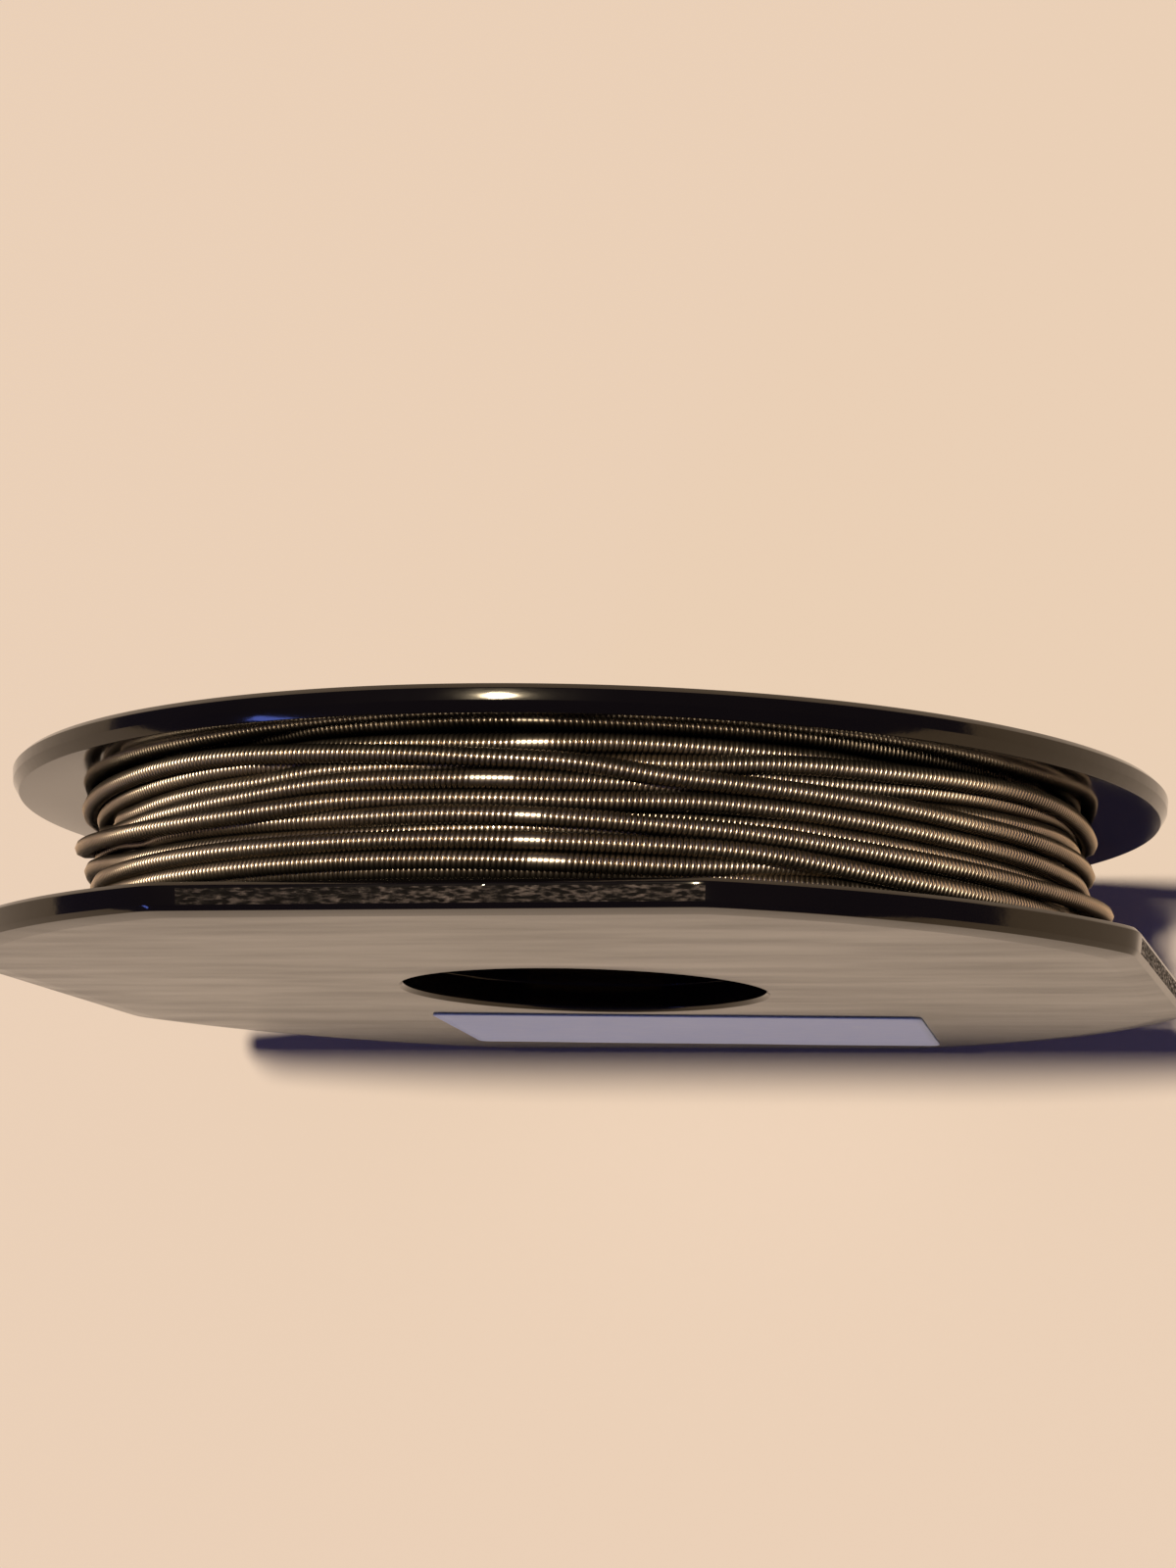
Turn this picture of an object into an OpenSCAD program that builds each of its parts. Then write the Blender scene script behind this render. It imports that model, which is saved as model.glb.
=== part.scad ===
// A moulded plastic spool of wrapped wire, standing on edge on one of its four flats.
//
// Millimetres. The origin is the centre of the bore, half way between the outer faces.
// Y runs along the spool's axis, from the flat-sided flange (-Y) to the round one (+Y).
// Z is up, and the spool stands on the lowest flat and on the edge of the round flange.
//
// Each piece is drawn along its own Z and then laid along the spool's axis by along_spool().

/* [Flanges] */
// Radius of the round flange, and distance from the axis to each flat of the other one
round_flange_r = 29; // [27:0.5:34]
// Radius over the rounded corners between the flats
corner_r = 31.6; // [30:0.2:38]
// Thickness of each flange
flange_t = 1.4; // [1.3:0.1:2.5]
// Width of the sloped border round each outer face
border_w = 1.5; // [0.8:0.1:3]
// Fall of the border from the outer face to the rim
border_drop = 0.12; // [0.05:0.01:0.2]
// Chamfer between the border and the rim
rim_chamfer = 0.25; // [0.1:0.05:0.4]
// Width of the round flange's bevel between rim and inner face, measured along the face
round_bevel_w = 0.35; // [0.1:0.05:0.6]
// Height of that bevel, measured along the rim
round_bevel_h = 0.5; // [0.1:0.05:0.55]
// Bevel of the flat-sided flange between rim and inner face
flat_bevel = 0.2; // [0.1:0.05:0.5]

/* [Barrel and sleeve] */
// Distance between the inner faces of the flanges
winding_w = 7.3; // [6:0.1:14]
// Diameter of the bore, from one outer face to the other
bore_d = 18.3; // [12:0.1:20]
// Chamfer at each mouth of the bore
bore_chamfer = 0.2; // [0.1:0.05:0.5]
// Wall of the sleeve on the round half, which lines the bore
sleeve_wall = 1.45; // [1:0.05:2]
// Wall of the barrel on the flat-sided half, which the sleeve plugs into
barrel_wall = 1.85; // [1.5:0.05:3]
// Clearance all round the sleeve and its keys
plug_clearance = 0.05; // [0.02:0.01:0.2]
// Number of keys on the sleeve, which stop the halves from turning on each other
key_count = 4; // [2:1:8]
// Width of each key
key_w = 2; // [1:0.1:3]
// Height of each key above the sleeve
key_h = 0.75; // [0.4:0.05:1]
// Length of each key, measured from the round flange
key_l = 4; // [2:0.1:5.5]

/* [Wire] */
// Diameter of the wire, over its wrapping
wire_d = 0.92; // [0.7:0.01:1.1]
// Radius over the outer layer of the winding
winding_r = 25.2; // [23:0.1:27]
// Least spacing of the turns in the outer layer
turn_spacing = 1.38; // [1.37:0.01:2.2]
// Sideways wander of the strand in each turn
lay_wander = 0.2; // [0:0.01:0.3]
// Room between the outermost turns and the flanges
side_room = 0.2; // [0.15:0.01:0.5]
// Radius at which each end of the strand turns down into the layers below
tuck_bend_r = 0.8; // [0.6:0.05:1.2]

/* [Label] */
// Width of the label
label_w = 26.2; // [10:0.1:28]
// Height of the label
label_h = 13.6; // [6:0.1:14]
// Thickness of the label
label_t = 0.1; // [0.08:0.01:0.2]
// How much nearer to the bore the label sits than half way between bore and border
label_raise = 0.9; // [0:0.1:1]
// Distance of the label's middle to the side
label_aside = 1.6; // [-2:0.1:2]
// Slant of the label, as it was stuck on
label_slant = 4.5; // [-6:0.5:6]

/* [Hidden] */

$fn = 96;
past = 1;  // how far a cutting shape reaches past what it cuts

spool_w = winding_w + 2 * flange_t;
bore_r = bore_d / 2;
sleeve_r = bore_r + sleeve_wall;
barrel_bore_r = sleeve_r + plug_clearance;
barrel_r = barrel_bore_r + barrel_wall;
key_r = sleeve_r + key_h;
label_down = (bore_r + bore_chamfer + round_flange_r - border_w) / 2 - label_raise;

// The outer layer of wire: its strand is a tube with six sides and one ring every 15 degrees.
tube_sides = 6;
rings_per_turn = 24;
bend_steps = 4;
strand_r = winding_r - wire_d / 2;
strand_reach = winding_w / 2 - wire_d / 2 - side_room;
strand_turns = floor(4 * 2 * strand_reach / turn_spacing) / 4;
strand_rings = strand_turns * rings_per_turn;
strand_start = 45;  // angle of the first tuck, on the side that the spool stands on
tuck_foot_r = strand_r - tuck_bend_r - wire_d;
layers_clearance = 0.03;
layers_r = strand_r * cos(180 / rings_per_turn) - wire_d / 2 - layers_clearance;

plastic_colour = [0.05, 0.045, 0.045];
wire_colour = [0.52, 0.44, 0.32];
label_colour = [0.70, 0.69, 0.80];

// Lays a piece that is drawn along Z along the spool's axis.
module along_spool() {
    rotate([-90, 0, 0]) children();
}

// ---------- flanges ----------

// Half of a flange's section: inner face at height 0, outer face at height flange_t.
function flange_section(reach, bevel_w, bevel_h) = [
    [0, 0],
    [reach - bevel_w, 0],
    [reach, bevel_h],
    [reach, flange_t - border_drop - rim_chamfer],
    [reach - rim_chamfer, flange_t - border_drop],
    [reach - border_w, flange_t],
    [0, flange_t]
];

module round_plate(reach, bevel_w, bevel_h) {
    rotate_extrude() polygon(flange_section(reach, bevel_w, bevel_h));
}

// A bar with the flange's section on both of its long sides.
module flat_sided_bar(reach, half_length) {
    rotate([90, 0, 0])
        linear_extrude(2 * half_length, center = true)
            for (side = [0, 1])
                mirror([side, 0]) polygon(flange_section(reach, flat_bevel, flat_bevel));
}

// Four flats, with a rounded corner between each two.
module flat_sided_plate() {
    intersection() {
        round_plate(corner_r, flat_bevel, flat_bevel);
        flat_sided_bar(round_flange_r, corner_r + past);
        rotate(90) flat_sided_bar(round_flange_r, corner_r + past);
    }
}

// The bore through a flange, which opens out at its mouth in the outer face.
module flange_bore(bottom) {
    rotate_extrude()
        polygon([
            [0, bottom],
            [bore_r, bottom],
            [bore_r, flange_t - bore_chamfer],
            [bore_r + bore_chamfer, flange_t],
            [bore_r + bore_chamfer, flange_t + past],
            [0, flange_t + past]
        ]);
}

// ---------- the two mouldings ----------

module keys(width, outer_r, length) {
    for (i = [0 : key_count - 1])
        rotate(360 / key_count * i)
            translate([0, -width / 2, 0]) cube([outer_r, width, length]);
}

// Flat-sided flange and barrel. The barrel has a groove for each key of the sleeve.
module flat_sided_half() {
    color(plastic_colour)
        along_spool() {
            difference() {
                union() {
                    translate([0, 0, -winding_w / 2]) mirror([0, 0, 1]) flat_sided_plate();
                    translate([0, 0, -winding_w / 2 - flange_t / 2])
                        cylinder(r = barrel_r, h = winding_w + flange_t / 2);
                }
                translate([0, 0, -winding_w / 2]) cylinder(r = barrel_bore_r, h = winding_w + past);
                translate([0, 0, -winding_w / 2]) mirror([0, 0, 1]) flange_bore(-past);
                translate([0, 0, winding_w / 2 + past])
                    mirror([0, 0, 1])
                        keys(
                            key_w + 2 * plug_clearance,
                            key_r + plug_clearance,
                            key_l + plug_clearance + past
                        );
            }
        }
}

// Round flange and sleeve. The sleeve reaches down to the flat-sided flange.
module round_half() {
    color(plastic_colour)
        along_spool()
            translate([0, 0, winding_w / 2])
                difference() {
                    union() {
                        round_plate(round_flange_r, round_bevel_w, round_bevel_h);
                        translate([0, 0, -winding_w])
                            cylinder(r = sleeve_r, h = winding_w + flange_t / 2);
                        mirror([0, 0, 1]) keys(key_w, key_r, key_l);
                    }
                    flange_bore(-winding_w - past);
                }
}

// ---------- the wire ----------

// Height of the strand over the share of its turns. It wanders alike in each turn, so that the
// turns keep their spacing, and not at all at the ends, because there is a whole number of
// quarter turns.
function strand_height(turn_share) =
    -strand_reach + 2 * strand_reach * turn_share
    + lay_wander * sin(2 * 360 * strand_turns * turn_share);

// Points of the strand's middle line as [angle, radius, distance along the tangent, height].
function tuck_points(angle, height, way) = concat(
    [[angle, tuck_foot_r, way * tuck_bend_r, height]],
    [for (i = [0 : bend_steps - 1])
        let (a = 90 * i / bend_steps)
            [
                angle,
                strand_r - tuck_bend_r * (1 - sin(a)),
                way * tuck_bend_r * cos(a),
                height
            ]
    ]
);

function reversed(list) = [for (i = [len(list) - 1 : -1 : 0]) list[i]];

function placed(p) = [
    p[1] * cos(p[0]) - p[2] * sin(p[0]),
    p[1] * sin(p[0]) + p[2] * cos(p[0]),
    p[3]
];

strand_end = strand_start + 360 * strand_turns;
strand_path = [for (p = concat(
    tuck_points(strand_start, strand_height(0), -1),
    [for (i = [0 : strand_rings])
        [strand_start + 360 * i / rings_per_turn, strand_r, 0, strand_height(i / strand_rings)]
    ],
    reversed(tuck_points(strand_end, strand_height(1), 1))
)) placed(p)];

// The least gap between parts of the strand that lie half a turn or more apart along it.
strand_gap = min([
    for (i = [0 : len(strand_path) - 1])
        for (j = [i + rings_per_turn / 2 : 1 : len(strand_path) - 1])
            norm(strand_path[i] - strand_path[j])
]) - wire_d;
echo(str("least gap of the outer layer to itself: ", strand_gap, " mm"));
echo(str("loops in the outer layer: ", strand_turns));

function unit(v) = v / norm(v);

// Direction of a path at one of its points.
function direction(path, i) = unit(
    path[min(i + 1, len(path) - 1)] - path[max(i - 1, 0)]
);

function ring(path, i, tube_r) =
    let (
        ahead = direction(path, i),
        across = unit([0, 0, 1] - ahead[2] * ahead),
        outward = cross(ahead, across)
    )
    [for (k = [0 : tube_sides - 1])
        let (a = 360 / tube_sides * (k + 0.5))
            path[i] + tube_r * (cos(a) * outward + sin(a) * across)
    ];

// A tube with flat ends along a path. All of its faces are triangles.
module tube_along(path, tube_r) {
    rings = len(path);
    points = [for (i = [0 : rings - 1]) for (p = ring(path, i, tube_r)) p];
    walls = [for (i = [0 : rings - 2]) for (k = [0 : tube_sides - 1])
        let (
            a = i * tube_sides + k,
            b = i * tube_sides + (k + 1) % tube_sides
        )
        each [[a, b + tube_sides, b], [a, a + tube_sides, b + tube_sides]]
    ];
    first_end = [for (k = [1 : tube_sides - 2]) [0, k, k + 1]];
    last = (rings - 1) * tube_sides;
    last_end = [for (k = [1 : tube_sides - 2]) [last, last + k + 1, last + k]];
    polyhedron(points, concat(walls, first_end, last_end));
}

// Where a strand's end goes down between the turns of the layer below.
module tuck_pocket(angle, height, way) {
    rotate(angle)
        translate([tuck_foot_r, way * tuck_bend_r, height])
            rotate([0, 90, 0])
                cylinder(r = wire_d / 2 + plug_clearance, h = winding_r - tuck_foot_r, $fn = 24);
}

// The inner layers, as one plain ring between the flanges.
module wire_inner_layers() {
    color(wire_colour * 0.6)
        along_spool()
            difference() {
                cylinder(r = layers_r, h = winding_w, center = true);
                cylinder(r = barrel_r, h = winding_w + 2 * past, center = true);
                tuck_pocket(strand_start, strand_height(0), -1);
                tuck_pocket(strand_end, strand_height(1), 1);
            }
}

// The outer layer, as one unbroken strand. Each end is tucked into the layers below.
module wire_outer_layer() {
    color(wire_colour)
        along_spool() tube_along(strand_path, wire_d / 2);
}

// ---------- the label ----------

// A blank paper label on the flat-sided flange's outer face, below the bore.
module label() {
    color(label_colour)
        along_spool()
            translate([label_aside, label_down, -spool_w / 2 - label_t / 2])
                rotate(label_slant) cube([label_w, label_h, label_t], center = true);
}

flat_sided_half();
round_half();
wire_inner_layers();
wire_outer_layer();
label();
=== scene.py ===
"""Looks of a spool of wrapped wire: glossy black mouldings, ribbed wire and a blank paper label.

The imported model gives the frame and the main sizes. Lengths are written in millimetres and become
metres where a mesh, the camera or a lamp is made. The spool's axis is Y, the flat-sided flange is
at -Y, Z is up, and an angle round the spool is 0 at the top and grows towards +X.
"""

import math

import bpy
import numpy as np
from mathutils import Matrix, Vector


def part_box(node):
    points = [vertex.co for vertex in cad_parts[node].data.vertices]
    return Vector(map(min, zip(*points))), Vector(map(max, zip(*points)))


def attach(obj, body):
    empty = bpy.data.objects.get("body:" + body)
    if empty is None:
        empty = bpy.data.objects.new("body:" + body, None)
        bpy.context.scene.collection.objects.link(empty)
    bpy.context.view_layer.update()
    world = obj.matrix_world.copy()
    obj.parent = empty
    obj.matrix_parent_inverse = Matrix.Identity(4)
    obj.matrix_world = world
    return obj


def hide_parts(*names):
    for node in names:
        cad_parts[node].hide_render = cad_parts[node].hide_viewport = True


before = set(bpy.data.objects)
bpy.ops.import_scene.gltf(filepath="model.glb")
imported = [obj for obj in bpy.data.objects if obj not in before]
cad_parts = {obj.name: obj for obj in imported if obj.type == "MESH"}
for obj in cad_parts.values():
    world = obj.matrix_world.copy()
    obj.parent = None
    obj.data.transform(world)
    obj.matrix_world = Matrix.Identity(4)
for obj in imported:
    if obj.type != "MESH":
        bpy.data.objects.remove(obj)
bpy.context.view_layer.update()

MM = 0.001
FULL_TURN = 2 * math.pi
QUARTER_TURN = math.pi / 2
TINY = 1e-6  # keeps divisors off zero


def box_mm(node):
    """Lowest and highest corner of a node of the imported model."""
    low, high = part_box(node)
    return np.array(low) / MM, np.array(high) / MM


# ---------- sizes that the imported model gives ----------

FLANGE_R, FACE_Y, _ = box_mm("round_half")[1]
FLOOR_Z = box_mm("flat_sided_half")[0][2]
LABEL_LOW, LABEL_HIGH = box_mm("label")

# ---------- sizes that part.scad also has ----------

CORNER_R = 31.6
FLANGE_T = 1.4
BORDER_W = 1.5
BORDER_DROP = 0.12
RIM_CHAMFER = 0.25
ROUND_BEVEL_W = 0.35
ROUND_BEVEL_H = 0.5
FLAT_BEVEL = 0.2
BORE_R = 9.15
BORE_CHAMFER = 0.2
SLEEVE_R = 10.6
BARREL_R = 12.5
PLUG_CLEARANCE = 0.05
KEY_COUNT = 4
KEY_W = 2.0
KEY_H = 0.75
KEY_L = 4.0
LABEL_W = 26.2
LABEL_H = 13.6
LABEL_SLANT = 4.5  # degrees

INNER_Y = FACE_Y - FLANGE_T  # the flanges' inner faces are here and at -INNER_Y

# ---------- camera ----------

CAMERA_PLACE = (45.728, -26.351, 178.709)
CAMERA_RIGHT = (0.96943, 0.02775, -0.24381)
CAMERA_UP = (0.01504, 0.98500, 0.17192)
CAMERA_LENS = 84.591
CAMERA_SENSOR = 36  # along the picture's long side
CAMERA_CLIP = (10, 20000)


def add_camera():
    """The photograph's camera, as fitted to the outlines of the flanges and the bore."""
    right = Vector(CAMERA_RIGHT).normalized()
    back = right.cross(Vector(CAMERA_UP)).normalized()
    up = back.cross(right)
    turn = Matrix((right, up, back)).transposed().to_4x4()
    data = bpy.data.cameras.new("camera")
    data.lens = CAMERA_LENS
    data.sensor_width = CAMERA_SENSOR
    data.clip_start = CAMERA_CLIP[0] * MM
    data.clip_end = CAMERA_CLIP[1] * MM
    camera = bpy.data.objects.new("camera", data)
    camera.matrix_world = Matrix.Translation(Vector(CAMERA_PLACE) * MM) @ turn
    bpy.context.collection.objects.link(camera)
    bpy.context.scene.camera = camera


# ---------- materials ----------

NOISE_RANGE = (0.3, 0.7)  # where most values of a noise texture lie

PLASTIC_IOR = 1.5
PLASTIC_COLOURS = ((0.0030, 0.0021, 0.0018), (0.0058, 0.0042, 0.0036))
PLASTIC_TINT = (1.0, 0.85, 0.6, 1)
GLOSSY = (0.07, 0.13)  # roughness of rims, bore and inner faces
DULL = (0.16, 0.26)  # roughness of the outer faces
FACE_FADE = 0.01  # height over which glossy becomes dull

CUT_COLOURS = ((0.0008, 0.0006, 0.0004), (0.13, 0.095, 0.07))  # the pits, and the pale flakes, whose paleness is partly their own and partly painted glints
CUT_TINT = (1.0, 0.8, 0.62, 1)
CUT_LEVEL = 0.2
FLAKE_RANGE = (0.47, 0.68)  # the smears that turn pale
BLOTCHES = (0.15, 1.0)  # how pale the flakes and their painted glints are, in large patches
BLOTCH_RANGE = (0.38, 0.6)
CUT_ROUGHNESS = (0.75, 0.24)
CUT_ROUGHNESS_RANGE = (0.4, 0.66)
PIT_DEPTH = 0.12
GRAIN_DEPTH = 0.015

WEAR_AND_SHADE = "wear_and_shade"  # attribute of the wire's points: 1 on the ribs' crests, and 0 in the grooves; it sets the wire's polish, and darkens its colour as painted shade in the grooves and on the strand's sides
WIRE_PATCHES = (0.9, 1.2)  # how bright the ribs are, in large patches
WIRE_ROUGHNESS = (0.45, 0.30)  # in the grooves, and on the ribs
WIRE_ROUGHNESS_RANGE = (0.2, 0.8)
POLISH = (1, 0.45)  # what is left of that on the flat crests
POLISH_RANGE = (0.86, 0.93)
WIRE_GRAIN = (0.92, 1.08)

# Painted shade: the paper is white, and these darker blues stand in for the cool shade on it.
PAPER_COLOURS_IN_PAINTED_SHADE = ((0.50, 0.61, 0.90), (0.57, 0.68, 0.97))
PAPER_LEVEL = 0.3
PAPER_ROUGHNESS = (0.5, 0.7)
FIBRE_DEPTH = 0.008


def new_material(name):
    """A material with its shader, nodes and links."""
    material = bpy.data.materials.new(name)
    material.use_nodes = True
    nodes = material.node_tree.nodes
    return material, nodes["Principled BSDF"], nodes, material.node_tree.links


def noise(nodes, links, scale, detail, stretch=(1, 1, 1)):
    """A noise texture in the piece's own coordinates. The scale is in waves per metre."""
    place = nodes.new("ShaderNodeTexCoord")
    mapping = nodes.new("ShaderNodeMapping")
    mapping.inputs["Scale"].default_value = stretch
    texture = nodes.new("ShaderNodeTexNoise")
    texture.inputs["Scale"].default_value = scale
    texture.inputs["Detail"].default_value = detail
    links.new(place.outputs["Object"], mapping.inputs["Vector"])
    links.new(mapping.outputs["Vector"], texture.inputs["Vector"])
    return texture.outputs["Fac"]


def remap(nodes, links, value, to, source=NOISE_RANGE):
    """The value, stretched so that the source range fills the range "to", and held within it."""
    node = nodes.new("ShaderNodeMapRange")
    node.inputs["From Min"].default_value = source[0]
    node.inputs["From Max"].default_value = source[1]
    node.inputs["To Min"].default_value = to[0]
    node.inputs["To Max"].default_value = to[1]
    links.new(value, node.inputs["Value"])
    return node.outputs["Result"]


def mix_colours(nodes, links, share, low, high):
    """low where the share is 0, and high where it is 1."""
    node = nodes.new("ShaderNodeMix")
    node.data_type = "RGBA"
    node.inputs["A"].default_value = (*low, 1)
    node.inputs["B"].default_value = (*high, 1)
    links.new(share, node.inputs["Factor"])
    return node.outputs["Result"]


def mix_values(nodes, links, share, low, high):
    """The value low where the share is 0, and the value high where it is 1."""
    node = nodes.new("ShaderNodeMix")
    links.new(share, node.inputs["Factor"])
    links.new(low, node.inputs["A"])
    links.new(high, node.inputs["B"])
    return node.outputs["Result"]


def multiplied(nodes, links, first, second):
    node = nodes.new("ShaderNodeMath")
    node.operation = "MULTIPLY"
    links.new(first, node.inputs[0])
    links.new(second, node.inputs[1])
    return node.outputs["Value"]


def bump(nodes, links, height, depth, base=None):
    """A normal that follows the height, on top of the normal base."""
    node = nodes.new("ShaderNodeBump")
    node.inputs["Strength"].default_value = 1.0
    node.inputs["Distance"].default_value = depth * MM
    links.new(height, node.inputs["Height"])
    if base is not None:
        links.new(base, node.inputs["Normal"])
    return node.outputs["Normal"]


def outer_face(nodes, links):
    """1 on the flanges' outer faces and 0 elsewhere, from the distance across the spool."""
    place = nodes.new("ShaderNodeTexCoord")
    parts = nodes.new("ShaderNodeSeparateXYZ")
    size = nodes.new("ShaderNodeMath")
    size.operation = "ABSOLUTE"
    links.new(place.outputs["Object"], parts.inputs["Vector"])
    links.new(parts.outputs["Y"], size.inputs[0])
    border = (FACE_Y - BORDER_DROP) * MM
    return remap(nodes, links, size.outputs["Value"], (0, 1), (border - FACE_FADE * MM, border))


def black_plastic(name, level, wave):
    """Glossy black styrene with faint flow streaks and haze, duller on the outer faces.

    level is how strongly it reflects, and wave is the height of its streaks.
    """
    material, shader, nodes, links = new_material(name)
    shader.inputs["IOR"].default_value = PLASTIC_IOR
    shader.inputs["Specular IOR Level"].default_value = level
    shader.inputs["Specular Tint"].default_value = PLASTIC_TINT
    haze = noise(nodes, links, scale=160, detail=5)
    colour = mix_colours(nodes, links, haze, *PLASTIC_COLOURS)
    links.new(colour, shader.inputs["Base Color"])
    face = outer_face(nodes, links)
    streaks = noise(nodes, links, scale=480, detail=5, stretch=(0.2, 1, 1))
    dull = remap(nodes, links, streaks, DULL)
    gloss = remap(nodes, links, haze, GLOSSY)
    links.new(mix_values(nodes, links, face, gloss, dull), shader.inputs["Roughness"])
    links.new(bump(nodes, links, streaks, wave), shader.inputs["Normal"])
    return material


def cut_plastic():
    """The flats' rough side faces, with pits, grain and pale flakes drawn out along the edge. The
    flakes' pale colour is partly their own and partly painted glints.
    """
    material, shader, nodes, links = new_material("cut_plastic")
    shader.inputs["IOR"].default_value = PLASTIC_IOR
    shader.inputs["Specular IOR Level"].default_value = CUT_LEVEL
    shader.inputs["Specular Tint"].default_value = CUT_TINT
    grain = noise(nodes, links, scale=7000, detail=3)
    smears = noise(nodes, links, scale=7000, detail=7, stretch=(0.3, 1, 0.3))
    clouds = noise(nodes, links, scale=700, detail=2, stretch=(1, 0.3, 1))
    pale = remap(nodes, links, smears, (0, 1), FLAKE_RANGE)
    blotches = remap(nodes, links, clouds, BLOTCHES, BLOTCH_RANGE)
    flakes_and_glints = multiplied(nodes, links, pale, blotches)
    links.new(mix_colours(nodes, links, flakes_and_glints, *CUT_COLOURS), shader.inputs["Base Color"])
    rough = remap(nodes, links, smears, CUT_ROUGHNESS, CUT_ROUGHNESS_RANGE)
    links.new(rough, shader.inputs["Roughness"])
    pits = bump(nodes, links, smears, PIT_DEPTH)
    links.new(bump(nodes, links, grain, GRAIN_DEPTH, pits), shader.inputs["Normal"])
    return material


def wire_metal(name, crest, groove):
    """Drawn alloy wire, worn smooth on the ribs' crests. Its colour falls to a painted shade, near
    black, in the grooves and on the strand's sides.
    """
    material, shader, nodes, links = new_material(name)
    shader.inputs["Metallic"].default_value = 1.0
    attribute = nodes.new("ShaderNodeAttribute")
    attribute.attribute_name = WEAR_AND_SHADE
    wear_and_shade = attribute.outputs["Fac"]
    patches = noise(nodes, links, scale=420, detail=4)
    bright = multiplied(nodes, links, wear_and_shade, remap(nodes, links, patches, WIRE_PATCHES))
    # Painted shade: the colour falls from crest to the near-black groove colour where the wear is
    # low, in the ribs' grooves and on the strand's sides.
    links.new(mix_colours(nodes, links, bright, groove, crest), shader.inputs["Base Color"])
    grain = noise(nodes, links, scale=2500, detail=2)
    rough = remap(nodes, links, wear_and_shade, WIRE_ROUGHNESS, WIRE_ROUGHNESS_RANGE)
    polish = remap(nodes, links, wear_and_shade, POLISH, POLISH_RANGE)
    rough = multiplied(nodes, links, rough, remap(nodes, links, grain, WIRE_GRAIN))
    links.new(multiplied(nodes, links, rough, polish), shader.inputs["Roughness"])
    return material


def label_paper():
    """Blank white paper with a fine fibre, its colour painted in the blue of the cool shade that
    falls on it.
    """
    material, shader, nodes, links = new_material("label_paper")
    shader.inputs["Specular IOR Level"].default_value = PAPER_LEVEL
    fibre = noise(nodes, links, scale=1900, detail=5, stretch=(0.5, 1, 1))
    cloud = noise(nodes, links, scale=150, detail=3)
    links.new(mix_colours(nodes, links, cloud, *PAPER_COLOURS_IN_PAINTED_SHADE), shader.inputs["Base Color"])
    links.new(remap(nodes, links, fibre, PAPER_ROUGHNESS), shader.inputs["Roughness"])
    links.new(bump(nodes, links, fibre, FIBRE_DEPTH), shader.inputs["Normal"])
    return material


# ---------- meshes ----------

CORNER_STEPS = 3  # edges in each rounded corner
CORNER_REACH = 0.45  # the most that a rounded corner takes of the edge beside it
LONGEST_EDGE = 2.5  # in a section


def quad_mesh(name, points, quads, material, fans=(), wear_and_shade=None):
    """An object of smooth quads and flat triangles. The wear, with its painted shade, has a value
    for each point.
    """
    mesh = bpy.data.meshes.new(name)
    loops = [np.asarray(quads, dtype=np.int32).ravel()]
    sizes = [np.full(len(quads), 4, dtype=np.int32)]
    for fan in fans:
        loops.append(np.asarray(fan, dtype=np.int32).ravel())
        sizes.append(np.full(len(fan), 3, dtype=np.int32))
    loops = np.concatenate(loops)
    sizes = np.concatenate(sizes)
    starts = np.concatenate([[0], np.cumsum(sizes)[:-1]]).astype(np.int32)
    mesh.vertices.add(len(points))
    mesh.vertices.foreach_set("co", (np.asarray(points) * MM).astype(np.float32).ravel())
    mesh.loops.add(len(loops))
    mesh.loops.foreach_set("vertex_index", loops)
    mesh.polygons.add(len(sizes))
    mesh.polygons.foreach_set("loop_start", starts)
    mesh.polygons.foreach_set("use_smooth", sizes == 4)
    mesh.update(calc_edges=True)
    mesh.validate()
    if wear_and_shade is not None:
        worn_and_shaded = mesh.attributes.new(WEAR_AND_SHADE, "FLOAT", "POINT")
        worn_and_shaded.data.foreach_set("value", np.asarray(wear_and_shade, dtype=np.float32))
    thing = bpy.data.objects.new(name, mesh)
    bpy.context.collection.objects.link(thing)
    mesh.materials.append(material)
    return thing


def rounded(section):
    """A closed outline of (radius, y) from corners that are each (radius, y, rounding)."""
    points = np.array([corner[:2] for corner in section], dtype=float)
    done = []
    for i, corner in enumerate(points):
        rounding = section[i][2]
        if rounding == 0:
            done.append(corner)
            continue
        before = points[i - 1] - corner
        after = points[(i + 1) % len(points)] - corner
        before_len, after_len = np.linalg.norm(before), np.linalg.norm(after)
        before, after = before / before_len, after / after_len
        half = math.acos(np.clip(before @ after, -1, 1)) / 2
        longest = CORNER_REACH * before_len, CORNER_REACH * after_len
        reach = min(rounding / math.tan(half), *longest)
        a, b = corner + before * reach, corner + after * reach
        for step in range(CORNER_STEPS + 1):
            share = step / CORNER_STEPS
            done.append((1 - share) ** 2 * a + 2 * share * (1 - share) * corner + share**2 * b)
    return np.array(done)


def with_rings(columns):
    """Divides long edges alike in all columns, so that they keep one number of points."""
    columns = np.array(columns)
    after = np.roll(columns, -1, axis=1)
    lengths = np.linalg.norm(after - columns, axis=-1).max(axis=0)
    done = []
    for k, length in enumerate(lengths):
        parts = max(1, math.ceil(length / LONGEST_EDGE))
        done += [columns[:, k] + (after[:, k] - columns[:, k]) * j / parts for j in range(parts)]
    return np.stack(done, axis=1)


def grid_quads(ids):
    """The quads of a grid of points, whose numbers are ids."""
    return np.stack([ids[:-1, :-1], ids[1:, :-1], ids[1:, 1:], ids[:-1, 1:]], -1).reshape(-1, 4)


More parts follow.
